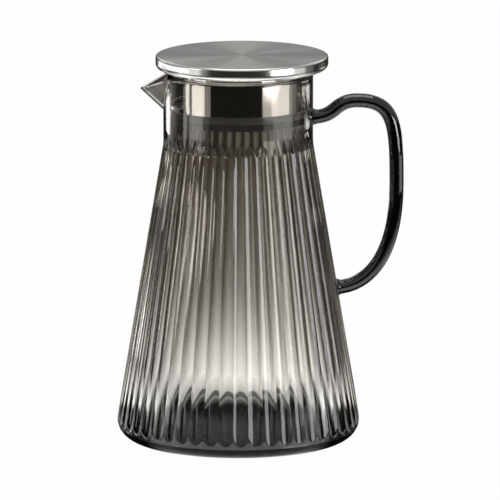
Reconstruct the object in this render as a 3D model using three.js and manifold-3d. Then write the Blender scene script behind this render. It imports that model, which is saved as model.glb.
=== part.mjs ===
// Smoke polycarbonate jug: a fluted conical wall on a welded floor, a bar handle, and a steel lid
// whose strainer collar is held in the neck by a silicone ring.
// Millimetres, +Z up. The origin is on the jug's axis, on the face it stands on.
// The handle points along +X and the spout along -X.

import * as THREE from 'three';
import { mergeVertices } from 'three/addons/utils/BufferGeometryUtils.js';
import { ConvexGeometry } from 'three/addons/geometries/ConvexGeometry.js';
import Module from 'manifold-3d';

const wasm = await Module();
wasm.setup();

// Clearances between pieces
const bondGap = 0.3; // welds and bonds
const sealGap = 0.3; // silicone against steel and polycarbonate

// Wall and neck
const baseRadius = 75; // widest, just above the floor
const edgeRound = 12; // rounding of the bottom edge
const neckRadius = 46.15;
const neckHeight = 43.6; // from the end of the cone to the rim
const rimHeight = 229;
const wall = 3.3;
const rimRound = 0.9;

// Flutes: shallow hollows side by side round the cone, with ridges between them
const fluteCount = 50;
const fluteDepth = 1.5; // at the widest; it lessens with the girth
const fluteTurn = -2.25; // degrees from the front (-Y) to the nearest ridge
const fluteTopFade = 9; // height over which they run out at the neck
const fluteRunOut = 5; // how far they run past the end of the cone
const fluteBottomFade = 8; // height over which they run out above the floor
const stepsPerFlute = 4;

// Floor
const floorThickness = 7;
const locatingRingHeight = 4;
const locatingRingWidth = 0.9;
const floorFillet = 4;

// Spout
const spoutReach = 62.6; // axis to tip
const spoutTipDrop = 9.8; // rim to tip
const spoutDepth = 24.6; // rim to where its keel leaves the neck
const spoutEdgeDrop = 1.5; // rim to where its edges leave the neck
const spoutHalfAngle = 22; // degrees, from the spout's middle to there
const spoutWall = 1.4;

// Handle
const handleRadius = 4.4;
const handleUpperDrop = 27.7; // rim to the bar's middle where it leaves the neck
const handleRise = 10.2; // from there up to the bar's middle at its highest
const handleCrestReach = 73.5; // axis to that highest place
const handleReach = 97.7; // axis to the bar's middle at its farthest
const handleReachDrop = 51.8; // from the highest place down to the farthest
const handleLowerRoot = 94.3; // height of the bar's middle where it meets the cone
const handleSwan = 15; // pulls of the curve, along the bar: at the neck and into the crest
const handleShoulder = 22.5; // out of the crest
const handleDrop = 37.8; // into the farthest place
const handleSide = 61.6; // out of the farthest place
const handleFoot = 6.2; // into the lower root
const handleSteps = 44;
const handleSides = 14;

// Lid
const lidOverhang = 7.05; // past the outside of the neck
const lidOffset = 2.3; // the lid overhangs more on the handle's side, where a thumb lifts it
const lidGap = 2.6; // rim of the neck to the underside of the lid
const lidHeight = 8.4;
const lidTopRound = 1.4;
const lidLowerRound = 3.6;
const sheet = 0.8; // steel sheet
const plateThickness = 1;

// Strainer collar
const collarDepth = 25.7; // below the rim of the neck
const collarFlange = 2.2;
const holeRadius = 0.85;
const holeColumns = 10;
const holeColumnStep = 4.5; // degrees
const holeRows = 5;
const holePitch = 3.8;
const windowHalfAngle = 40; // degrees
const windowMargin = 2.5; // left above and below the window
const windowRound = 3;

// Seal ring
const sealGrip = 4.7; // how far it reaches up the collar
const sealFloor = 3.8; // below the collar
const sealInnerWall = 1.5;
const sealOuterWall = 1.25;
const sealTaper = 1.1; // how far the lower edge is drawn in
const sealLipHeight = 4.2;

const smoke = new THREE.MeshStandardMaterial({
  color: 0x6f675d, roughness: 0.08, metalness: 0, transparent: true, opacity: 0.55,
});
const darkSmoke = new THREE.MeshStandardMaterial({ color: 0x1c1b19, roughness: 0.1, metalness: 0 });
const brushedSteel = new THREE.MeshStandardMaterial({ color: 0xb8b6b1, roughness: 0.32, metalness: 1 });
const polishedSteel = new THREE.MeshStandardMaterial({ color: 0xcfccc6, roughness: 0.08, metalness: 1 });
const silicone = new THREE.MeshStandardMaterial({ color: 0x4b4b48, roughness: 0.5, metalness: 0 });

const radians = THREE.MathUtils.degToRad;

// Solids

function closedMesh(geometry) {
  const bare = geometry.clone();
  bare.deleteAttribute('normal');
  bare.deleteAttribute('uv');
  const merged = mergeVertices(bare, 1e-4);
  const corners = merged.index.array;
  const kept = [];
  for (let i = 0; i < corners.length; i += 3) {
    const [a, b, c] = [corners[i], corners[i + 1], corners[i + 2]];
    if (a !== b && b !== c && c !== a) kept.push(a, b, c);
  }
  merged.setIndex(kept);
  return merged;
}

function solidOf(geometry) {
  const mesh = closedMesh(geometry);
  return new wasm.Manifold(new wasm.Mesh({
    numProp: 3,
    vertProperties: new Float32Array(mesh.attributes.position.array),
    triVerts: new Uint32Array(mesh.index.array),
  }));
}

function geometryOf(solid) {
  const mesh = solid.getMesh();
  const geometry = new THREE.BufferGeometry();
  geometry.setAttribute('position', new THREE.BufferAttribute(mesh.vertProperties, mesh.numProp));
  geometry.setIndex(new THREE.BufferAttribute(mesh.triVerts, 1));
  return geometry;
}

// A profile of [radius, height] points turned about Z. It runs up the outside and down the inside.
function turned(profile, sides) {
  const points = profile.map(([r, z]) => new THREE.Vector2(r, z));
  return new THREE.LatheGeometry(points, sides).rotateX(Math.PI / 2);
}

function ring(profile, sides) {
  return turned([...profile, profile[0]], sides);
}

// Points on an arc in a profile, from one angle to another in degrees
function arc(r, z, radius, from, to, steps) {
  const points = [];
  for (let i = 0; i <= steps; i += 1) {
    const angle = radians(from + (to - from) * i / steps);
    points.push([r + radius * Math.cos(angle), z + radius * Math.sin(angle)]);
  }
  return points;
}

function named(name, geometry, material) {
  const closed = closedMesh(geometry);
  closed.computeVertexNormals();
  const mesh = new THREE.Mesh(closed, material);
  mesh.name = name;
  return mesh;
}

// Outside of the vessel: the bottom rounding, the cone tangent to it, and the neck

const shoulderHeight = rimHeight - neckHeight;
const edgeCentre = baseRadius - edgeRound;
const toShoulder = Math.hypot(neckRadius - edgeCentre, shoulderHeight - edgeRound);
const leanAngle = Math.asin(edgeRound / toShoulder)
  - Math.atan2(neckRadius - edgeCentre, shoulderHeight - edgeRound);
const lean = Math.tan(leanAngle);
const coneFoot = edgeRound * (1 + Math.sin(leanAngle));

function outerRadius(height) {
  if (height >= shoulderHeight) return neckRadius;
  if (height >= coneFoot) return neckRadius + (shoulderHeight - height) * lean;
  return edgeCentre + Math.sqrt(edgeRound ** 2 - (edgeRound - height) ** 2);
}

const wallFoot = floorThickness + bondGap;
const fluteFoot = wallFoot + fluteBottomFade;
const fluteEnd = shoulderHeight + fluteRunOut;
const fluteTop = fluteEnd - fluteTopFade;

function fluteShare(height) {
  const rising = THREE.MathUtils.smoothstep(height, wallFoot, fluteFoot);
  return rising * (1 - THREE.MathUtils.smoothstep(height, fluteTop, fluteEnd));
}

// 0 on a ridge, 1 in the middle of a flute
function fluteDip(angle) {
  const turns = (angle + Math.PI / 2 - radians(fluteTurn)) / (2 * Math.PI) * fluteCount;
  const fromRidge = Math.abs(turns - Math.round(turns));
  return 1 - (1 - 2 * fromRidge) ** 2;
}

// The fluted outside as one solid block, grown by a margin
function vesselBlock(margin) {
  const heights = [wallFoot, (wallFoot + coneFoot) / 2, fluteFoot, fluteTop,
    (fluteTop + fluteEnd) / 2, fluteEnd, rimHeight - rimRound].sort((a, b) => a - b);
  const profile = [[0, wallFoot]];
  for (const height of heights) profile.push([outerRadius(height) + margin, height]);
  profile.push([neckRadius - rimRound + margin, rimHeight], [0, rimHeight]);
  const block = turned(profile, fluteCount * stepsPerFlute);
  block.rotateZ(radians(fluteTurn));
  const place = block.attributes.position;
  for (let i = 0; i < place.count; i += 1) {
    const [x, y, z] = [place.getX(i), place.getY(i), place.getZ(i)];
    const share = 1 - fluteDepth / baseRadius * fluteShare(z) * fluteDip(Math.atan2(y, x));
    place.setXY(i, x * share, y * share);
  }
  return solidOf(block);
}

// Jug body: wall, neck and spout

const boreRadius = neckRadius - wall;
const footBore = outerRadius(coneFoot) - wall;

function cavity() {
  const below = wallFoot - wall;
  const above = rimHeight + wall;
  return solidOf(turned([
    [0, below], [footBore, below], [footBore, coneFoot], [boreRadius, shoulderHeight],
    [boreRadius, rimHeight - rimRound], [boreRadius + rimRound, rimHeight],
    [boreRadius + rimRound, above], [0, above],
  ], 100));
}

const spoutTip = new THREE.Vector3(-spoutReach, 0, rimHeight - spoutTipDrop);
const spoutFoot = new THREE.Vector3(-neckRadius, 0, rimHeight - spoutDepth);
const spoutEdge = new THREE.Vector3(
  -neckRadius * Math.cos(radians(spoutHalfAngle)),
  neckRadius * Math.sin(radians(spoutHalfAngle)),
  rimHeight - spoutEdgeDrop,
);
const mirrored = (point) => new THREE.Vector3(point.x, -point.y, point.z);
const shifted = (point, by) => point.clone().add(by);

function spoutBlock() {
  const intoWall = new THREE.Vector3(wall / 2, 0, 0);
  const corners = [spoutEdge, mirrored(spoutEdge), spoutFoot];
  return solidOf(new ConvexGeometry([
    spoutTip, ...corners, ...corners.map((corner) => shifted(corner, intoWall)),
  ]));
}

// The channel is the spout's outside moved in, square to the keel, until its sides are spoutWall thick
function spoutChannel() {
  const side = new THREE.Triangle(spoutTip, spoutEdge, spoutFoot).getNormal(new THREE.Vector3());
  const keel = new THREE.Vector3().subVectors(spoutTip, spoutFoot).normalize();
  const inward = new THREE.Vector3(keel.z, 0, -keel.x);
  inward.multiplyScalar(spoutWall / Math.abs(side.dot(inward)));
  const through = new THREE.Vector3(2 * wall, 0, 0);
  const upward = new THREE.Vector3(0, 0, spoutTipDrop);
  const corners = [spoutTip, spoutEdge, mirrored(spoutEdge), spoutFoot];
  const inner = corners.map((corner) => shifted(corner, inward));
  return solidOf(new ConvexGeometry([
    ...inner,
    ...inner.slice(0, 3).map((corner) => shifted(corner, upward)),
    ...inner.slice(1).map((corner) => shifted(corner, through)),
    ...inner.slice(1, 3).map((corner) => shifted(corner, through).add(upward)),
  ]));
}

function jugBody() {
  const body = vesselBlock(0).add(spoutBlock()).subtract(cavity()).subtract(spoutChannel());
  return named('jug_body', geometryOf(body), smoke);
}

// Floor with its rounded edge, a land for the wall and a locating ring whose inner side is the fillet

function baseDisc() {
  const edgeAngle = THREE.MathUtils.radToDeg(Math.asin((floorThickness - edgeRound) / edgeRound));
  const ringRadius = footBore - bondGap;
  const ringTop = floorThickness + locatingRingHeight;
  const filletRadius = ringRadius - locatingRingWidth - floorFillet;
  const profile = [
    [0, 0],
    ...arc(edgeCentre, edgeRound, edgeRound, -90, edgeAngle, 5),
    [ringRadius, floorThickness],
    [ringRadius, ringTop],
    ...arc(filletRadius, floorThickness + floorFillet, floorFillet, 0, -90, 3),
    [0, floorThickness],
  ];
  return named('base_disc', turned(profile, 72), smoke);
}

// Handle: a round bar along one smooth curve, its ends cut to the wall that they are bonded to

function handle() {
  const at = (x, z) => new THREE.Vector3(x, 0, z);
  const upperRoot = rimHeight - handleUpperDrop;
  const upperStart = outerRadius(upperRoot);
  const crest = upperRoot + handleRise;
  const farthest = crest - handleReachDrop;
  const lowerEnd = outerRadius(handleLowerRoot);
  const swan = new THREE.CubicBezierCurve3(
    at(upperStart, upperRoot), at(upperStart + handleSwan, upperRoot),
    at(handleCrestReach - handleSwan, crest), at(handleCrestReach, crest),
  );
  const shoulder = new THREE.CubicBezierCurve3(
    swan.v3, at(handleCrestReach + handleShoulder, crest),
    at(handleReach, farthest + handleDrop), at(handleReach, farthest),
  );
  const sweep = new THREE.CubicBezierCurve3(
    shoulder.v3, at(handleReach, farthest - handleSide),
    at(lowerEnd + handleFoot, handleLowerRoot), at(lowerEnd, handleLowerRoot),
  );
  const route = new THREE.CurvePath();
  route.add(new THREE.LineCurve3(at(upperStart - wall, upperRoot), swan.v0));
  route.add(swan);
  route.add(shoulder);
  route.add(sweep);
  route.add(new THREE.LineCurve3(sweep.v3, at(lowerEnd - wall, handleLowerRoot)));
  const section = new THREE.Shape().absarc(0, 0, handleRadius, 0, 2 * Math.PI);
  const bar = new THREE.ExtrudeGeometry(section, {
    steps: handleSteps, curveSegments: handleSides / 2, extrudePath: route, bevelEnabled: false,
  });
  return named('handle', geometryOf(solidOf(bar).subtract(vesselBlock(bondGap))), darkSmoke);
}

// Lid: the cover's rim is rolled under the base plate, and the collar's flange is welded to the plate

const lidFoot = rimHeight + lidGap;
const lidTop = lidFoot + lidHeight;
const lidRadius = neckRadius + lidOverhang;
const plateFoot = lidFoot + sheet + bondGap;
const collarRadius = boreRadius - sealGap - sealOuterWall - sealGap;
const collarFoot = rimHeight - collarDepth;
const flangeRadius = collarRadius + collarFlange;
const sealTop = collarFoot + sealGrip;

function lidCover() {
  const topCentre = lidRadius - lidTopRound;
  const lowerCentre = lidRadius - lidLowerRound;
  const lipRadius = flangeRadius + lidOffset + bondGap;
  return named('lid_cover', turned([
    [0, lidTop - sheet],
    ...arc(topCentre, lidTop - lidTopRound, lidTopRound - sheet, 90, 0, 2),
    ...arc(lowerCentre, lidFoot + lidLowerRound, lidLowerRound - sheet, 0, -90, 4),
    [lipRadius, lidFoot + sheet],
    [lipRadius, lidFoot],
    ...arc(lowerCentre, lidFoot + lidLowerRound, lidLowerRound, -90, 0, 4),
    ...arc(topCentre, lidTop - lidTopRound, lidTopRound, 0, 90, 3),
    [0, lidTop],
  ], 72), brushedSteel);
}

function lidBasePlate() {
  const plateRadius = lidRadius - lidLowerRound - bondGap;
  return named('lid_base_plate', turned([
    [0, plateFoot], [plateRadius, plateFoot],
    [plateRadius, plateFoot + plateThickness], [0, plateFoot + plateThickness],
  ], 64), polishedSteel);
}

function strainerCollar() {
  const inside = collarRadius - sheet;
  const flangeTop = plateFoot - bondGap;
  const holeMiddle = (sealTop + lidFoot) / 2;
  let collar = solidOf(ring([
    [inside, collarFoot], [collarRadius, collarFoot],
    [collarRadius, flangeTop - sheet], [flangeRadius, flangeTop - sheet],
    [flangeRadius, flangeTop], [inside, flangeTop],
  ], 96));
  const through = 4 * sheet;
  for (let column = 0; column < holeColumns; column += 1) {
    const angle = radians((column - (holeColumns - 1) / 2) * holeColumnStep);
    const rows = column % 2 === 0 ? holeRows : holeRows - 1;
    for (let row = 0; row < rows; row += 1) {
      const drill = new THREE.CylinderGeometry(holeRadius, holeRadius, through, 8).rotateZ(Math.PI / 2);
      drill.translate(collarRadius, 0, holeMiddle + (row - (rows - 1) / 2) * holePitch);
      collar = collar.subtract(solidOf(drill.rotateZ(angle)));
    }
  }
  return named('strainer_collar', geometryOf(collar.subtract(pouringWindow())), polishedSteel);
}

// A rounded rectangle through the collar on the spout's side, drawn in Y and Z
function pouringWindow() {
  const half = collarRadius * Math.sin(radians(windowHalfAngle));
  const windowHeight = lidFoot - sealTop - 2 * windowMargin;
  const outline = new THREE.Shape();
  outline.moveTo(-half + windowRound, 0);
  outline.lineTo(half - windowRound, 0);
  outline.absarc(half - windowRound, windowRound, windowRound, -Math.PI / 2, 0);
  outline.absarc(half - windowRound, windowHeight - windowRound, windowRound, 0, Math.PI / 2);
  outline.absarc(-half + windowRound, windowHeight - windowRound, windowRound, Math.PI / 2, Math.PI);
  outline.absarc(-half + windowRound, windowRound, windowRound, Math.PI, 1.5 * Math.PI);
  const cutter = new THREE.ExtrudeGeometry(outline, {
    depth: collarRadius, curveSegments: 3, bevelEnabled: false,
  });
  cutter.rotateX(Math.PI / 2).rotateZ(-Math.PI / 2);
  cutter.translate(0, 0, sealTop + windowMargin);
  return solidOf(cutter);
}

// Seal: a groove from above takes the collar's lower edge, and a lip outside bears on the neck

function sealRing() {
  const lipRadius = boreRadius - sealGap;
  const grooveOuter = collarRadius + sealGap;
  const grooveInner = collarRadius - sheet - sealGap;
  const grooveFoot = collarFoot - sealGap;
  const foot = grooveFoot - sealFloor;
  const inside = grooveInner - sealInnerWall;
  return named('seal_ring', ring([
    [inside, foot], [lipRadius - sealTaper, foot],
    [lipRadius, sealTop - sealLipHeight], [lipRadius, sealTop],
    [grooveOuter, sealTop], [grooveOuter, grooveFoot],
    [grooveInner, grooveFoot], [grooveInner, sealTop], [inside, sealTop],
  ], 72), silicone);
}

const jug = new THREE.Group();
const lid = new THREE.Group();
lid.position.x = lidOffset;
lid.add(lidCover(), lidBasePlate());
jug.add(jugBody(), baseDisc(), handle(), sealRing(), strainerCollar(), lid);

export default jug;
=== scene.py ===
import math

import bmesh
import bpy
from mathutils import Matrix, Vector


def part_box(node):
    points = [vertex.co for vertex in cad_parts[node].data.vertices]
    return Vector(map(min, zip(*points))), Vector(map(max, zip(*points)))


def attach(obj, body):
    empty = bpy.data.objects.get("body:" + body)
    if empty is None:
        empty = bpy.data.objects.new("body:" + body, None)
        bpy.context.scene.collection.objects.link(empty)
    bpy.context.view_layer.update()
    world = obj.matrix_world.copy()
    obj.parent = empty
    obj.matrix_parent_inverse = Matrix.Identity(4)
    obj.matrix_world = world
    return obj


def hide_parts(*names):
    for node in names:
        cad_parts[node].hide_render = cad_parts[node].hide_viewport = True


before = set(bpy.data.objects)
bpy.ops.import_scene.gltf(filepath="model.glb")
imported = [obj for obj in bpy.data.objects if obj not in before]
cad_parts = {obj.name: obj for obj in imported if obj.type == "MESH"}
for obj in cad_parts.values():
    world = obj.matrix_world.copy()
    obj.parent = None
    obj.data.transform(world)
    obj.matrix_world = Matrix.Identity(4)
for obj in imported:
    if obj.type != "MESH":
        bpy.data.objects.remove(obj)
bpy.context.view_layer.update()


# Wall, neck and spout. One clear moulding of smoke polycarbonate: a cone with hollow flutes side by
# side, a plain neck and a V spout folded out of its rim. It is open at both ends, and its lower edge
# is welded to the floor.
mm = 0.001
base_radius = 75 * mm
edge_round = 12 * mm
neck_radius = 46.15 * mm
shoulder_height = 185.4 * mm
rim_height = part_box("jug_body")[1].z
wall = 3.3 * mm
rim_round = 0.9 * mm
weld_gap = 0.08 * mm
wall_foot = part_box("base_disc")[1].z - 4 * mm + weld_gap
bore_radius = neck_radius - wall

flute_count = 50
steps_per_flute = 16
flute_depth = 1.5 * mm  # at the widest; it lessens with the girth
flute_turn = math.radians(-2.25)  # from the front to the nearest ridge
flute_blend = 0.5 * mm
flute_foot = 16 * mm  # below this the flutes run out in the bottom rounding
flute_full = 183.5 * mm  # from here each one rises to a pointed end
flute_end = 190.5 * mm
tip_blend = 0.15 * mm

spout_reach = 62.6 * mm
spout_tip_height = rim_height - 9.8 * mm
spout_foot_height = rim_height - 24.6 * mm
spout_edge_drop = 1.5 * mm  # the rim dips by this to the spout's edges
spout_half_angle = math.radians(22)
spout_wall = 1.4 * mm
keel_blend = 0.02  # softens the fold, as a share of the radius
spout_start = 203 * mm  # below this the neck is plain

edge_centre = base_radius - edge_round
cone_rise = shoulder_height - edge_round
cone_run = neck_radius - edge_centre
cone_slant = math.hypot(cone_run, cone_rise)
lean_angle = math.asin(edge_round / cone_slant) - math.atan2(cone_run, cone_rise)
cone_foot = edge_round * (1 + math.sin(lean_angle))
merge_distance = 0.004 * mm


def cone_radius(height):
    """The straight cone through the flutes' ridges."""
    return neck_radius + (shoulder_height - height) * math.tan(lean_angle)


def rounded_radius(height):
    """The bottom edge's rounding, and past its end the cone."""
    if height >= cone_foot:
        return cone_radius(height)
    return edge_centre + math.sqrt(edge_round**2 - (edge_round - height) ** 2)


def softly_larger(a, b, reach):
    """The larger of two values, with a rounded change from one to the other."""
    overlap = max(reach - abs(a - b), 0)
    return max(a, b) + overlap**2 / (4 * reach)


def fluted_radius(angle, height):
    """Outside of the wall: flutes sunk in the cone run out at the neck and in the bottom rounding."""
    turns = (angle + math.pi / 2 - flute_turn) / (2 * math.pi) * flute_count
    from_ridge = abs(turns - round(turns))
    dip = 1 - (1 - 2 * from_ridge) ** 2
    rise = max((height - flute_full) / (flute_end - flute_full), 0)
    plain = softly_larger(cone_radius(height), neck_radius, flute_blend)
    flute = plain * (1 - flute_depth / base_radius * (dip - rise))
    if rise > 0:
        return -softly_larger(-flute, -plain, tip_blend)
    if height > 2 * cone_foot:
        return flute
    return -softly_larger(-flute, -rounded_radius(height), flute_blend)


def arc(radius, height, size, start, end, steps):
    """Points of a profile on an arc about (radius, height), from one angle to another in degrees."""
    angles = [math.radians(start + (end - start) * i / steps) for i in range(steps + 1)]
    return [(radius + size * math.cos(a), height + size * math.sin(a)) for a in angles]


def between(start, end, count):
    """Evenly spaced values from start up to, and without, end."""
    return [start + (end - start) * i / count for i in range(count)]


def turned(profile, steps, closed=False, start=0.0, sectors=1):
    """A bmesh of a profile of (radius, height) points spun about Z, as one sector that is repeated."""
    bm = bmesh.new()
    places = [(r * math.cos(start), r * math.sin(start), z) for r, z in profile]
    verts = [bm.verts.new(place) for place in places]
    pairs = list(zip(verts, verts[1:] + verts[:1]))
    edges = [bm.edges.new(pair) for pair in (pairs if closed else pairs[:-1])]
    about = {"cent": (0, 0, 0), "axis": (0, 0, 1)}
    sector = 2 * math.pi / sectors
    whole = sectors == 1
    bmesh.ops.spin(bm, geom=verts + edges, angle=sector, steps=steps // sectors, use_merge=whole, **about)
    if not whole:
        grown = [*bm.verts, *bm.edges, *bm.faces]
        rest = 2 * math.pi - sector
        bmesh.ops.spin(bm, geom=grown, angle=rest, steps=sectors - 1, use_duplicate=True, **about)
    bmesh.ops.remove_doubles(bm, verts=bm.verts, dist=merge_distance)
    bmesh.ops.recalc_face_normals(bm, faces=bm.faces)
    return bm


def piece(name, bm, body, nodes, materials, crease=35):
    """The finished object of a bmesh, shaded smooth up to the crease angle, riding on its body."""
    mesh = bpy.data.meshes.new(name)
    bm.to_mesh(mesh)
    bm.free()
    mesh.polygons.foreach_set("use_smooth", [True] * len(mesh.polygons))
    mesh.set_sharp_from_angle(angle=math.radians(crease))
    for material in materials:
        mesh.materials.append(material)
    made = bpy.data.objects.new(name, mesh)
    bpy.context.scene.collection.objects.link(made)
    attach(made, body)
    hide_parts(*nodes)
    return made


class Shade:
    """An output in a node tree. Arithmetic on it adds Math nodes, and node() adds any other."""

    def __init__(self, tree, socket=None):
        self.tree = tree
        self.socket = socket

    def node(self, kind, inputs=(), output=0, stops=(), **settings):
        made = self.tree.nodes.new("ShaderNode" + kind)
        for name, value in settings.items():
            setattr(made, name, value)
        for i, (place, colour) in enumerate(stops):
            elements = made.color_ramp.elements
            element = elements[i] if i < 2 else elements.new(place)
            element.position = place
            element.color = (*colour, 1)
        for name, value in dict(inputs).items():
            if isinstance(value, Shade):
                self.tree.links.new(value.socket, made.inputs[name])
            else:
                made.inputs[name].default_value = value
        return Shade(self.tree, made.outputs[output] if made.outputs else None)

    def math(self, operation, *values):
        return self.node("Math", dict(enumerate(values)), operation=operation)

    def __add__(self, other):
        return self.math("ADD", self, other)

    def __sub__(self, other):
        return self.math("SUBTRACT", self, other)

    def __rsub__(self, other):
        return self.math("SUBTRACT", other, self)

    def __mul__(self, other):
        return self.math("MULTIPLY", self, other)

    def __truediv__(self, other):
        return self.math("DIVIDE", self, other)

    __radd__ = __add__
    __rmul__ = __mul__


def new_finish(name):
    """An empty material and its node tree."""
    material = bpy.data.materials.new(name)
    material.use_nodes = True
    material.node_tree.nodes.clear()
    return material, Shade(material.node_tree)


def moulded_roughness(tree, place, least):
    """Roughness of a gloss moulding, with faint streaks from the flow of the plastic."""
    streaks = tree.node("TexNoise", {"Vector": place, "Scale": 60.0, "Detail": 3.0})
    return streaks * 0.02 + least


def smoke_finish(name, tints, absorption, density, ior, sheen=0.0):
    """Clear tinted plastic: tints at shares of the rim's height, and absorption in its thickness."""
    material, tree = new_finish(name)
    place = tree.node("TexCoord", output="Object")
    height = tree.node("SeparateXYZ", {"Vector": place}, output="Z")
    tint = tree.node("ValToRGB", {"Fac": height / rim_height}, stops=tints)
    surface = tree.node(
        "BsdfPrincipled",
        {
            "Base Color": tint,
            "Roughness": moulded_roughness(tree, place, 0.01),
            "IOR": ior,
            "Transmission Weight": 1.0,
            "Sheen Weight": sheen,
            "Sheen Roughness": 0.3,
        },
    )
    inside = tree.node("VolumeAbsorption", {"Color": (*absorption, 1), "Density": density})
    tree.node("OutputMaterial", {"Surface": surface, "Volume": inside})
    return material


outer_heights = [
    *between(wall_foot, flute_foot, 10),
    *between(flute_foot, flute_full, 12),
    *between(flute_full, flute_end, 18),
    *between(flute_end, spout_start, 3),
    *between(spout_start, rim_height - rim_round, 16),
]
inner_heights = [
    *between(rim_height - rim_round, spout_start, 16),
    *between(spout_start, shoulder_height, 2),
    *between(shoulder_height, cone_foot, 4),
    *between(cone_foot, wall_foot, 3),
    wall_foot,
]


def bore(height):
    """Radius of the wall's plain inside."""
    if height >= shoulder_height:
        return bore_radius
    return cone_radius(max(height, cone_foot)) - wall


wall_profile = [
    *[(max(neck_radius, rounded_radius(z)), z) for z in outer_heights],
    *arc(neck_radius - rim_round, rim_height - rim_round, rim_round, 0, 90, 4),
    *arc(bore_radius + rim_round, rim_height - rim_round, rim_round, 90, 180, 4)[:-1],
    *[(bore(z), z) for z in inner_heights],
]

# The spout's side planes meet in its keel; the top plane runs from the rim down to the tip
edge_out = neck_radius * math.cos(spout_half_angle)
edge_aside = neck_radius * math.sin(spout_half_angle)
tip = Vector((spout_reach, 0, spout_tip_height))
spout_edge = Vector((edge_out, edge_aside, rim_height - spout_edge_drop))
keel_foot = Vector((neck_radius, 0, spout_foot_height))
side_normal = (spout_edge - tip).cross(keel_foot - tip).normalized()
if side_normal.x < 0:
    side_normal.negate()
top_fall = (spout_edge.z - spout_tip_height) / (spout_reach - edge_out)


def side_reach(aside):
    """How fast the spout's side planes go outwards at an angle from the spout's middle."""
    return side_normal.x * math.cos(aside) + side_normal.y * math.hypot(math.sin(aside), keel_blend)


def spout_top(aside):
    """Height of the rim: it dips towards the spout, and then follows the spout's top plane to the tip."""
    if abs(aside) >= spout_half_angle:
        share = max(2 - abs(aside) / spout_half_angle, 0)
        return rim_height - spout_edge_drop * share**2 * (3 - 2 * share)
    plane = spout_tip_height + top_fall * spout_reach
    out = (side_normal.dot(tip) - side_normal.z * plane) / (
        side_reach(aside) - side_normal.z * top_fall * math.cos(aside)
    )
    return min(plane - top_fall * out * math.cos(aside), spout_edge.z)


def spout_point(aside, share, plain_radius, inset):
    """Place (radius, height) on the neck's side or the spout's, aside from the spout's middle by an
    angle, and a share of the way from spout_start up to the rim. Inset is the depth below the outside."""
    top = spout_top(aside) - rim_round
    level = side_normal.dot(tip) - inset
    leave = (level - side_reach(aside) * plain_radius) / side_normal.z
    if abs(aside) > 2 * spout_half_angle or leave >= top:
        return plain_radius, spout_start + (top - spout_start) * share
    bend = 0.5  # the share at which the spout's side leaves the neck
    if share <= bend:
        return plain_radius, spout_start + (leave - spout_start) * share / bend
    height = leave + (top - leave) * (share - bend) / (1 - bend)
    return (level - side_normal.z * height) / side_reach(aside), height


def shape_wall(bm):
    """Sinks the flutes into the spun wall and folds the spout out of its rim."""
    straight = rim_height - rim_round - spout_start
    for vert in bm.verts:
        x, y, z = vert.co
        radius, angle = math.hypot(x, y), math.atan2(y, x)
        on_outside = radius > bore(z) + wall / 3
        if z <= flute_end and on_outside:
            radius = fluted_radius(angle, z)
        elif z > spout_start:
            aside = math.atan2(y, -x)
            share = min((z - spout_start) / straight, 1)
            outwards = (radius - bore_radius) / wall
            outer = spout_point(aside, share, neck_radius, 0)
            inner = spout_point(aside, share, bore_radius, spout_wall)
            lift = max(z - (rim_height - rim_round), 0)
            radius = inner[0] + (outer[0] - inner[0]) * outwards
            z = inner[1] + (outer[1] - inner[1]) * outwards + lift
        vert.co = (radius * math.cos(angle), radius * math.sin(angle), z)


smoke = smoke_finish(
    "smoke_polycarbonate",
    tints=[
        (0.05, (0.5, 0.5, 0.49)),
        (0.1, (0.96, 0.96, 0.955)),
        (0.8, (0.76, 0.715, 0.65)),
        (0.835, (0.95, 0.935, 0.91)),
    ],
    absorption=(0.6, 0.57, 0.53),
    density=110.0,
    ior=1.58,
)
wall_steps = flute_count * steps_per_flute
wall_mesh = turned(wall_profile, wall_steps, closed=True, start=math.pi, sectors=flute_count)
shape_wall(wall_mesh)
piece("jug_wall", wall_mesh, "jug", ["jug_body"], [smoke])


# Floor. A thick disc of the same smoke polycarbonate with a rounded edge, dark because it is thick, and
# its top is tinted darker than its edge: painted shade on the top and a painted paler edge.
# A low ring on it locates the wall, and its land is welded to the wall's lower edge.
floor_top = wall_foot - weld_gap
ring_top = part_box("base_disc")[1].z
ring_radius = bore(cone_foot) - 0.15 * mm
ring_thickness = 0.9 * mm
floor_fillet = 4 * mm
half_way = edge_centre / 2
land_angle = math.degrees(math.asin((floor_top - edge_round) / edge_round))
paler_edge_look = (0.55, 1.2, 0.08)  # tint, refraction and least roughness; the edge's tint is painted paler than the top's
# the top's darker tint is painted shade
darker_top_look = (0.3, 1.05, 0.01)
top_from = floor_top - 0.05 * mm

floor_profile = [
    (0, 0),
    (half_way, 0),
    *arc(edge_centre, edge_round, edge_round, -90, land_angle, 12),
    (ring_radius, floor_top),
    (ring_radius, ring_top),
    *arc(ring_radius - ring_thickness - floor_fillet, floor_top + floor_fillet, floor_fillet, 0, -90, 8),
    (half_way, floor_top),
    (0, floor_top),
]


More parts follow.
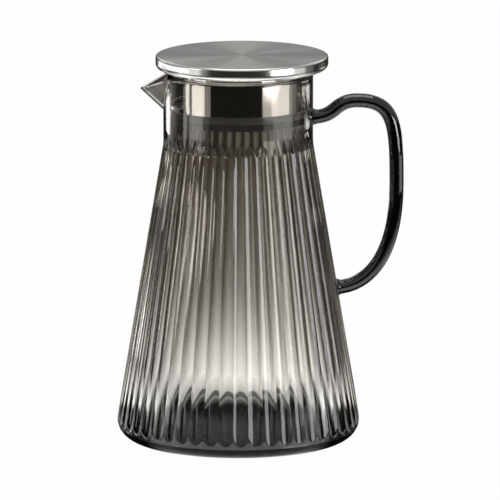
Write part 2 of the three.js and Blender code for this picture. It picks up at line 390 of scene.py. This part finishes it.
def floor_finish():
    """Smoke plastic, glossy on the edge and the underside; the top hardly mirrors. The edge is tinted
    paler than the top: painted light and shade on one plastic.
    """
    material, tree = new_finish("smoke_polycarbonate_floor")
    place = tree.node("TexCoord", output="Object")
    height = tree.node("SeparateXYZ", {"Vector": place}, output="Z")
    sides = []
    # the paler edge and the darker top are painted lit and shaded copies of one plastic
    for tint, ior, roughness in (paler_edge_look, darker_top_look):
        plastic = {
            "Base Color": (tint, tint, tint * 0.98, 1),
            "Roughness": moulded_roughness(tree, place, roughness),
            "IOR": ior,
            "Transmission Weight": 1.0,
        }
        sides.append(tree.node("BsdfPrincipled", plastic))
    on_top = tree.math("GREATER_THAN", height, top_from)
    surface = tree.node("MixShader", {"Fac": on_top, 1: sides[0], 2: sides[1]})
    inside = tree.node("VolumeAbsorption", {"Color": (0.1, 0.1, 0.1, 1), "Density": 150.0})
    tree.node("OutputMaterial", {"Surface": surface, "Volume": inside})
    return material


floor_mesh = turned(floor_profile, 160)
piece("jug_floor", floor_mesh, "jug", ["base_disc"], [floor_finish()])


# Handle. A solid round bar of darker smoke polycarbonate, bent to a loop. Its ends are shaped to the
# neck and to the fluted wall and bonded there.
bar_radius = 4.4 * mm
bar_sides = 40
bond_gap = 0.1 * mm
bond_flare = 0.9 * mm  # the bead of the bond widens the bar at its ends
flare_length = 1.6 * mm
upper_root = 201.3 * mm
crest_reach, crest = 73.5 * mm, 211.5 * mm
far_reach, far_height = 97.7 * mm, 159.7 * mm
lower_root = 94.3 * mm
lower_reach = cone_radius(lower_root)
curve_steps = 36
bar_tint = (0.3, 0.3, 0.29)

# Corners (reach, height) of the curves along the bar's middle
bar_curves = [
    [(neck_radius, upper_root), (61.15 * mm, upper_root), (58.5 * mm, crest), (crest_reach, crest)],
    [(crest_reach, crest), (96 * mm, crest), (far_reach, 197.5 * mm), (far_reach, far_height)],
    [(far_reach, far_height), (far_reach, 98.1 * mm), (67.5 * mm, lower_root), (lower_reach, lower_root)],
]


def bezier(points, share):
    """The point a share of the way along the curve of some corners."""
    while len(points) > 1:
        points = [a.lerp(b, share) for a, b in zip(points, points[1:])]
    return points[0]


def bar_route(steps_per_curve):
    """Points along the bar's middle, from the neck to the wall."""
    route = []
    for curve in bar_curves:
        corners = [Vector((x, 0, z)) for x, z in curve]
        route += [bezier(corners, i / steps_per_curve) for i in range(steps_per_curve)]
    return route + [Vector((lower_reach, 0, lower_root))]


def square_to(route, i):
    """A frame square to the route at one of its points."""
    along = (route[min(i + 1, len(route) - 1)] - route[max(i - 1, 0)]).normalized()
    side = Vector((0, 1, 0))
    turn = Matrix((side, along.cross(side), along)).transposed().to_4x4()
    return Matrix.Translation(route[i]) @ turn


def swept_bar(route):
    """A round bar along a route, with its ends shaped to the wall."""
    bm = bmesh.new()
    distances = [0.0]
    for a, b in zip(route, route[1:]):
        distances.append(distances[-1] + (b - a).length)

    def station(i):
        from_end = min(distances[i], distances[-1] - distances[i])
        size = bar_radius + bond_flare * math.exp(-((from_end / flare_length) ** 2))
        return square_to(route, i) @ Matrix.Scale(size, 4)

    bmesh.ops.create_circle(bm, segments=bar_sides, radius=1, matrix=station(0))
    loop = list(bm.edges)
    first_ring = list(bm.verts)
    for i in range(1, len(route)):
        grown = bmesh.ops.extrude_edge_only(bm, edges=loop)["geom"]
        loop = [g for g in grown if isinstance(g, bmesh.types.BMEdge)]
        last_ring = [g for g in grown if isinstance(g, bmesh.types.BMVert)]
        bmesh.ops.transform(bm, matrix=station(i) @ station(i - 1).inverted(), verts=last_ring)
    for vert in first_ring + last_ring:
        radius = fluted_radius(math.atan2(vert.co.y, vert.co.x), vert.co.z)
        radius = max(radius, neck_radius) + bond_gap
        vert.co.x = math.sqrt(radius**2 - vert.co.y**2)
    bmesh.ops.holes_fill(bm, edges=bm.edges)
    bmesh.ops.recalc_face_normals(bm, faces=bm.faces)
    return bm


dark_smoke = smoke_finish(
    "dark_smoke_polycarbonate",
    tints=[(0.0, bar_tint), (1.0, bar_tint)],
    absorption=(0.2, 0.19, 0.18),
    density=700.0,
    ior=1.8,
    sheen=0.3,
)
bar_mesh = swept_bar(bar_route(curve_steps))
piece("handle_bar", bar_mesh, "jug", ["handle"], [dark_smoke])


# Seal. A moulded ring of satin dark silicone: its lip bears on the inside of the neck, its lower edge is
# drawn in, and a groove in its top holds the collar's lower edge.
seal_low, seal_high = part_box("seal_ring")
lip_radius = seal_high.y
seal_inside = 38.4 * mm
seal_foot, seal_top = seal_low.z, seal_high.z
collar_radius = 41 * mm
sheet = 0.8 * mm
groove_foot = 203 * mm
groove_clear = 0.15 * mm
seal_round = 0.5 * mm
lip_round = 0.6 * mm
lip_highlight_height = 4.4 * mm  # a painted highlight: the lip is painted paler than the drawn-in part below
lip_highlight_blend = 0.4 * mm
# colour of the painted highlight on the lip
lip_highlight_tint = (0.32, 0.315, 0.3)
seal_tint = (0.03, 0.03, 0.029)

seal_profile = [
    *arc(lip_radius - 1.5 * mm, seal_foot + seal_round, seal_round, -90, -15, 4),
    (lip_radius - 0.25 * mm, seal_top - 5 * mm),
    *arc(lip_radius - lip_round, seal_top - 4.2 * mm, lip_round, -30, 0, 3),
    *arc(lip_radius - seal_round, seal_top - seal_round, seal_round, 0, 90, 5),
    (collar_radius + groove_clear, seal_top),
    (collar_radius + groove_clear, groove_foot),
    (collar_radius - sheet - groove_clear, groove_foot),
    (collar_radius - sheet - groove_clear, seal_top),
    *arc(seal_inside + seal_round, seal_top - seal_round, seal_round, 90, 180, 4),
    *arc(seal_inside + seal_round, seal_foot + seal_round, seal_round, 180, 270, 4),
]


def silicone_finish():
    """Satin silicone with a fine grain, clouded a little, and with a painted highlight: paler on the lip.
    """
    material, tree = new_finish("silicone")
    place = tree.node("TexCoord", output="Object")
    grain = tree.node("TexNoise", {"Vector": place, "Scale": 900.0, "Detail": 4.0})
    cloud = tree.node("TexNoise", {"Vector": place, "Scale": 45.0, "Detail": 2.0})
    height = tree.node("SeparateXYZ", {"Vector": place}, output="Z")
    # painted highlight: a paler colour on the band at the top of the ring
    lip_highlight_share = (height - (seal_top - lip_highlight_height)) / lip_highlight_blend
    tints = [(0.0, seal_tint), (1.0, lip_highlight_tint)]
    colour = tree.node("ValToRGB", {"Fac": lip_highlight_share + (cloud - 0.5) * 0.1}, stops=tints)
    bump = tree.node("Bump", {"Height": grain, "Strength": 0.15, "Distance": 0.05 * mm})
    surface = tree.node(
        "BsdfPrincipled",
        {"Base Color": colour, "Roughness": cloud * 0.1 + 0.14, "Normal": bump, "IOR": 1.41},
    )
    tree.node("OutputMaterial", {"Surface": surface})
    return material


seal_mesh = turned(seal_profile, 160, closed=True)
piece("lid_seal_ring", seal_mesh, "lid_seal", ["seal_ring"], [silicone_finish()])


# Strainer collar. A sleeve of polished steel sheet, pierced with small round holes on the handle's side
# and with a free window on the spout's side. Its flange is spot-welded to the plate in the lid.
collar_low, collar_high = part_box("strainer_collar")
collar_columns = 80
flange_radius = collar_high.y
hole_radius = 0.85 * mm
hole_rise = 1.9 * mm  # between the rows of neighbouring columns
hole_levels = 9
hole_columns = 10
hole_margin = 0.06 * mm
hole_evenness = 1.7  # spaces the points round a hole
hole_middle = (seal_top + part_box("lid_cover")[0].z) / 2
hole_foot = hole_middle - hole_levels / 2 * hole_rise
hole_head = hole_foot + hole_levels * hole_rise
window_columns = 9  # each side of the middle
window_margin = 2.5 * mm  # left between the seal and the window, and between the window and the lid
window_foot = seal_top + window_margin
window_head = 2 * hole_middle - window_foot
window_round = 3 * mm
tolerance = 0.01 * mm
flange_round = 0.6 * mm

collar_profile = [
    (collar_radius, collar_low.z),
    (collar_radius, window_foot),
    *[(collar_radius, z) for z in between(hole_foot, hole_head, hole_levels)],
    (collar_radius, hole_head),
    (collar_radius, window_head),
    *arc(collar_radius + flange_round, collar_high.z - sheet - flange_round, flange_round, 180, 90, 4),
    (flange_radius, collar_high.z - sheet),
]


def cell_of(face):
    """Column counted from the handle's side, and level in the pierced band."""
    centre = face.calc_center_median()
    column = math.atan2(centre.y, centre.x) / (2 * math.pi) * collar_columns
    return math.floor(column), math.floor((centre.z - hole_foot) / hole_rise)


def pierce(bm):
    """Cuts the round holes out of a field of cells of the spun sleeve."""
    holes = []
    for face in bm.faces:
        column, level = cell_of(face)
        in_field = 0 <= column + hole_columns / 2 < hole_columns and 0 <= level < hole_levels
        if in_field and (column + level + hole_columns // 2) % 2 == 0:
            holes.append(face)
    bmesh.ops.inset_individual(bm, faces=holes, thickness=hole_margin)
    rims = list(dict.fromkeys(edge for face in holes for edge in face.edges))
    bmesh.ops.subdivide_edges(bm, edges=rims, cuts=3)
    for face in holes:
        centre = face.calc_center_median()
        side = Vector((-centre.y, centre.x, 0)).normalized()
        for vert in face.verts:
            out = vert.co - centre
            spot = math.atan2(out.z * hole_evenness, out.dot(side))
            turn = hole_radius * math.cos(spot) / collar_radius + math.atan2(centre.y, centre.x)
            height = centre.z + hole_radius * math.sin(spot)
            vert.co = (collar_radius * math.cos(turn), collar_radius * math.sin(turn), height)
    bmesh.ops.delete(bm, geom=holes, context="FACES")


def open_window(bm):
    """Cuts the window out of the sleeve on the spout's side and rounds its corners."""
    half_angle = 2 * math.pi / collar_columns * window_columns
    opening = []
    for face in bm.faces:
        centre = face.calc_center_median()
        aside = abs(math.atan2(centre.y, -centre.x))
        if aside < half_angle and window_foot < centre.z < window_head:
            opening.append(face)
    edges = dict.fromkeys(edge for face in opening for edge in face.edges)
    outline = [edge for edge in edges if not set(edge.link_faces) <= set(opening)]
    bmesh.ops.delete(bm, geom=opening, context="FACES")
    bmesh.ops.subdivide_edges(bm, edges=outline, cuts=3)
    for vert in bm.verts:
        aside = math.atan2(vert.co.y, -vert.co.x)
        from_side = collar_radius * (half_angle - abs(aside))
        from_end = min(vert.co.z - window_foot, window_head - vert.co.z)
        on_sleeve = abs(math.hypot(vert.co.x, vert.co.y) - collar_radius) < tolerance
        in_window = min(from_side, from_end) >= -tolerance
        in_corner = max(from_side, from_end) <= window_round
        if not (on_sleeve and in_window and in_corner):
            continue
        out = Vector((from_side - window_round, from_end - window_round)).normalized() * window_round
        turn = math.copysign(half_angle - (window_round + out.x) / collar_radius, aside)
        rise = window_round + out.y - from_end
        vert.co.z += rise if vert.co.z < hole_middle else -rise
        vert.co.x, vert.co.y = -collar_radius * math.cos(turn), collar_radius * math.sin(turn)


def polished_finish(name, tint, roughness):
    """Bright steel with faint turning marks round the axis."""
    material, tree = new_finish(name)
    place = tree.node("TexCoord", output="Object")
    marks = tree.node("Mapping", {"Vector": place, "Scale": (60.0, 60.0, 2500.0)})
    lines = tree.node("TexNoise", {"Vector": marks, "Scale": 1.0, "Detail": 3.0})
    bump = tree.node("Bump", {"Height": lines, "Strength": 0.06, "Distance": 0.02 * mm})
    surface = tree.node(
        "BsdfPrincipled",
        {
            "Base Color": (*tint, 1),
            "Metallic": 1.0,
            "Roughness": lines * 0.08 + roughness,
            "Normal": bump,
        },
    )
    tree.node("OutputMaterial", {"Surface": surface})
    return material


polished_steel = polished_finish("polished_steel", (0.75, 0.715, 0.67), 0.02)
collar_mesh = turned(collar_profile, collar_columns)
pierce(collar_mesh)
open_window(collar_mesh)
bmesh.ops.solidify(collar_mesh, geom=collar_mesh.faces, thickness=sheet)
piece("strainer_sleeve", collar_mesh, "lid", ["strainer_collar"], [polished_steel])


# Base plate of the lid. A flat disc of steel inside the lid, which the collar hangs from and which the
# rolled rim of the cover holds.
plate_low, plate_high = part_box("lid_base_plate")
lid_middle = (plate_low.x + plate_high.x) / 2
plate_radius = plate_high.y
plate_edge = 0.3 * mm

plate_profile = [
    (0, plate_low.z),
    *arc(plate_radius - plate_edge, plate_low.z + plate_edge, plate_edge, -90, 0, 3),
    *arc(plate_radius - plate_edge, plate_high.z - plate_edge, plate_edge, 0, 90, 3),
    (0, plate_high.z),
]
plate_mesh = turned(plate_profile, 128)
bmesh.ops.translate(plate_mesh, vec=(lid_middle, 0, 0), verts=plate_mesh.verts)
piece("lid_plate", plate_mesh, "lid", ["lid_base_plate"], [polished_steel])


# Lid cover. A shallow cap spun from steel sheet: the top is brushed in rings, the rim is polished and
# rolled under the plate, and it overhangs more on the handle's side, where a thumb lifts it.
cover_low, cover_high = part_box("lid_cover")
cover_radius = cover_high.y
top_round = 1.4 * mm
lower_round = 3.6 * mm
lip_inside = 45.8 * mm
rim_hold = 0.1 * mm  # the rim's straight side is held flat up to this from its rounded edges
flat_from = cover_high.z - 0.1 * mm

cover_profile = [
    (0, cover_high.z - sheet),
    *arc(cover_radius - top_round, cover_high.z - top_round, top_round - sheet, 90, 0, 4),
    *arc(cover_radius - lower_round, cover_low.z + lower_round, lower_round - sheet, 0, -90, 6),
    (lip_inside, cover_low.z + sheet),
    (lip_inside, cover_low.z),
    *arc(cover_radius - lower_round, cover_low.z + lower_round, lower_round, -90, 0, 10),
    (cover_radius, cover_low.z + lower_round + rim_hold),
    (cover_radius, cover_high.z - top_round - rim_hold),
    *arc(cover_radius - top_round, cover_high.z - top_round, top_round, 0, 90, 8),
    (cover_radius / 2, cover_high.z),
    (0, cover_high.z),
]


def brushed_finish():
    """Steel brushed in rings about the lid's middle: the light fans out across the rings."""
    material, tree = new_finish("brushed_steel")
    place = tree.node("TexCoord", output="Object")
    centred = tree.node("Mapping", {"Vector": place, "Location": (-lid_middle, 0.0, 0.0)})
    parts = [tree.node("SeparateXYZ", {"Vector": centred}, output=axis) for axis in "XY"]
    from_middle = tree.math("SQRT", parts[0] * parts[0] + parts[1] * parts[1])
    rings = tree.node("TexNoise", {"W": from_middle * 3000.0, "Detail": 4.0}, noise_dimensions="1D")
    bump = tree.node("Bump", {"Height": rings, "Strength": 0.1, "Distance": 0.01 * mm})
    surface = tree.node(
        "BsdfPrincipled",
        {
            "Base Color": (0.5, 0.494, 0.48, 1),
            "Metallic": 1.0,
            "Roughness": rings * 0.1 + 0.3,
            "Anisotropic": 0.85,
            "Anisotropic Rotation": 0.25,
            "Normal": bump,
        },
    )
    tree.node("OutputMaterial", {"Surface": surface})
    return material


cover_mesh = turned(cover_profile, 192)
bmesh.ops.translate(cover_mesh, vec=(lid_middle, 0, 0), verts=cover_mesh.verts)
for face in cover_mesh.faces:
    is_top = face.calc_center_median().z > flat_from and face.normal.z > 0.9
    face.material_index = 0 if is_top else 1
rim_steel = polished_finish("rim_steel", (0.85, 0.84, 0.82), 0.15)
cover_materials = [brushed_finish(), rim_steel]
piece("lid_cap", cover_mesh, "lid", ["lid_cover"], cover_materials, crease=50)


# Table, studio and camera. A pale table with a painted pool of light near the jug and the jug's painted
# shadow round it, soft boxes at the jug's sides, low ones that show in its upright neck, and small ones
# behind and above it, in a dim room; the camera sees the room and the table as white.
table_size = 8.0
table_drop = 0.2 * mm  # keeps it clear of the floor's underside
paper_share = 0.025  # of the table that the camera sees; the rest is plain white
shade_radius = 0.06  # the jug's painted shadow on the table reaches out to here behind it
shade_front = 1.4  # distances in front count as this much longer
shade_aside = 0.12  # and squares of distances to the sides as this much of them
lit_near, lit_far = 0.085, 0.12
dim_radius = 0.75
pool_falloff = 1.9
pool_aside = -0.04
pool_narrowness = 0.6  # beside the jug; farther off it narrows
pool_narrowing = 3.0  # per metre
# colour of the table's painted pool of light, an emission near the jug
pool_light = (1.4, 1.4, 1.38, 1)
path_light = (0.155, 0.138, 0.118, 1)  # a dim painted path of light goes back from the pool
path_left, path_right = (-0.1, -0.02), (0.2, 0.5)  # where its two sides fade
path_start = (0.0, 0.1)
white, black = (1, 1, 1, 1), (0, 0, 0, 1)
room_seen_through = (0.025, 0.024, 0.022, 1)
room_below = (0.014, 0.014, 0.013, 1)
room_around = (0.42, 0.415, 0.41, 1)
horizon = (0.08, 0.18)  # the room brightens between these rises


def mix_colour(tree, share, a, b):
    return tree.node("Mix", {"Factor": share, 6: a, 7: b}, output=2, data_type="RGBA")


def smooth_step(tree, value, start, end):
    """Rises from 0 to 1 as the value goes from start to end."""
    ends = {"Value": value, "From Min": start, "From Max": end}
    return tree.node("MapRange", ends, interpolation_type="SMOOTHSTEP")


table_mesh = bmesh.new()
bmesh.ops.create_grid(table_mesh, x_segments=1, y_segments=1, size=table_size / 2)
bmesh.ops.translate(table_mesh, vec=(0, 0, -table_drop), verts=table_mesh.verts)
table_data = bpy.data.meshes.new("table")
table_mesh.to_mesh(table_data)
table_mesh.free()
table = bpy.data.objects.new("table", table_data)
bpy.context.scene.collection.objects.link(table)

white_table, tree = new_finish("white_table")
camera_share = tree.node("LightPath", output="Is Camera Ray")
place = tree.node("TexCoord", output="Object")
aside = tree.node("SeparateXYZ", {"Vector": place}, output="X")
behind = tree.node("SeparateXYZ", {"Vector": place}, output="Y")
shade_depth = tree.math("MAXIMUM", behind, behind * -shade_front)
from_jug = tree.math("SQRT", aside * aside * shade_aside + shade_depth * shade_depth)
path_share = smooth_step(tree, aside, *path_left) * (1 - smooth_step(tree, aside, *path_right))
path_share = path_share * smooth_step(tree, behind, *path_start)
narrowed = tree.math("ABSOLUTE", behind) * pool_narrowing + pool_narrowness
pool_across = (aside - pool_aside) * narrowed
from_pool = tree.math("SQRT", pool_across * pool_across + behind * behind)
fade = tree.node("MapRange", {"Value": from_pool, "From Min": lit_far, "From Max": dim_radius})
# Painted shadow of the jug and painted pool of light: the table emits them for rays other than the
# camera's.
unshaded = smooth_step(tree, from_jug, shade_radius, lit_near)
lit = unshaded * tree.math("POWER", 1 - fade, pool_falloff)
glow = tree.node("Emission", {"Color": mix_colour(tree, lit, black, pool_light)})
path_glow = tree.node("Emission", {"Color": mix_colour(tree, path_share, black, path_light)})
clear = tree.node("BsdfTransparent", {"Color": white})
both_glows = tree.node("AddShader", {0: glow, 1: path_glow})
mirrored_table = tree.node("AddShader", {0: both_glows, 1: clear})
paper = tree.node("BsdfDiffuse", {"Color": (0.9, 0.9, 0.9, 1)})
bright = tree.node("Emission", {"Color": white})
seen_table = tree.node("MixShader", {"Fac": 1 - paper_share, 1: paper, 2: bright})
surface = tree.node("MixShader", {"Fac": camera_share, 1: mirrored_table, 2: seen_table})
tree.node("OutputMaterial", {"Surface": surface})
table_data.materials.append(white_table)

world = bpy.data.worlds.new("studio")
bpy.context.scene.world = world
world.use_nodes = True
world.node_tree.nodes.clear()
tree = Shade(world.node_tree)
camera_share = tree.node("LightPath", output="Is Camera Ray")
through = tree.node("LightPath", output="Is Transmission Ray")
mirrorings = tree.node("LightPath", output="Glossy Depth")
through_share = through * tree.math("LESS_THAN", mirrorings, 0.5)
direction = tree.node("TexCoord", output="Generated")
up = tree.node("SeparateXYZ", {"Vector": direction}, output="Z")
room_mirrored = mix_colour(tree, smooth_step(tree, up, *horizon), room_below, room_around)
room = mix_colour(tree, through_share, room_mirrored, room_seen_through)
sky = mix_colour(tree, camera_share, room, white)
background = tree.node("Background", {"Color": sky, "Strength": 1.0})
tree.node("OutputWorld", {"Surface": background})


low = (0.16, -0.18, 2.0)  # height, middle and distance of the boxes that show in upright walls alone
# Name, degrees from the front, width, height, height of the middle, distance and radiance
soft_boxes = [
    ("right_box", 54, 0.5, 0.28, 0.19, 1.0, 4.2),
    ("right_low_box", 74, 1.3, *low, 1.45),
    ("right_inner_low_box", 48, 0.56, *low, 0.6),
    ("right_rear_low_box", 101, 0.63, *low, 0.25),
    ("right_core", 54, 0.5, 0.2, 0.24, 0.99, 0.8),
    ("right_inner_core", 54, 0.5, 0.1, 0.24, 0.98, 0.8),
    ("left_box", -63, 0.3, 0.17, 0.275, 1.0, 4.0),
    ("left_low_box", -69, 0.87, *low, 1.75),
    ("left_inner_low_box", -51.5, 0.38, *low, 0.35),
    ("left_strip_box", -90, 0.19, *low, 2.0),
    ("left_rear_low_box", -119, 0.5, *low, 0.25),
    ("left_rim_box", -91, 0.146, 0.0075, 0.218, 0.15, 2.4),
    ("back_left_low_box", -141, 0.49, 0.07, -0.13, 2.0, 2.5),
    ("back_left_box", -132, 0.28, 0.66, 0.03, 1.0, 0.4),
    ("high_left_box", -159, 0.22, 0.3, 0.7, 0.83, 1.6),
    ("high_right_box", 155, 0.3, 0.3, 0.7, 0.83, 0.9),
    ("back_right_low_box", 132.5, 0.13, 0.03, 0.1245, 0.5, 1.5),
    ("top_box", 0, 0.8, 0.8, 1.2, 0.0, 1.7),
]
jug_middle = Vector((0, 0, 0.12))
for name, from_front, width, height, middle, distance, radiance in soft_boxes:
    lamp = bpy.data.lights.new(name, "AREA")
    lamp.shape = "RECTANGLE"
    lamp.size, lamp.size_y = width, height
    lamp.energy = radiance * math.pi * width * height
    soft_box = bpy.data.objects.new(name, lamp)
    turn = math.radians(from_front)
    out = Vector((math.sin(turn), -math.cos(turn), 0))
    soft_box.location = out * distance + Vector((0, 0, middle))
    soft_box.rotation_euler = (jug_middle - soft_box.location).to_track_quat("-Z", "Y").to_euler()
    soft_box.visible_camera = False
    bpy.context.scene.collection.objects.link(soft_box)

camera_distance = 5.0
camera_rise = math.radians(11.09)
frame_width = 309.05 * mm  # seen across the picture at the aim
aim = Vector((7.25, 0, 117.6)) * mm
camera_data = bpy.data.cameras.new("camera")
camera_data.sensor_width = 36
camera_data.lens = camera_data.sensor_width * camera_distance / frame_width
camera = bpy.data.objects.new("camera", camera_data)
back = Vector((0, -math.cos(camera_rise), math.sin(camera_rise)))
camera.location = aim + back * camera_distance
camera.rotation_euler = (-back).to_track_quat("-Z", "Y").to_euler()
bpy.context.scene.collection.objects.link(camera)
bpy.context.scene.camera = camera
bpy.context.scene.view_settings.view_transform = "Standard"
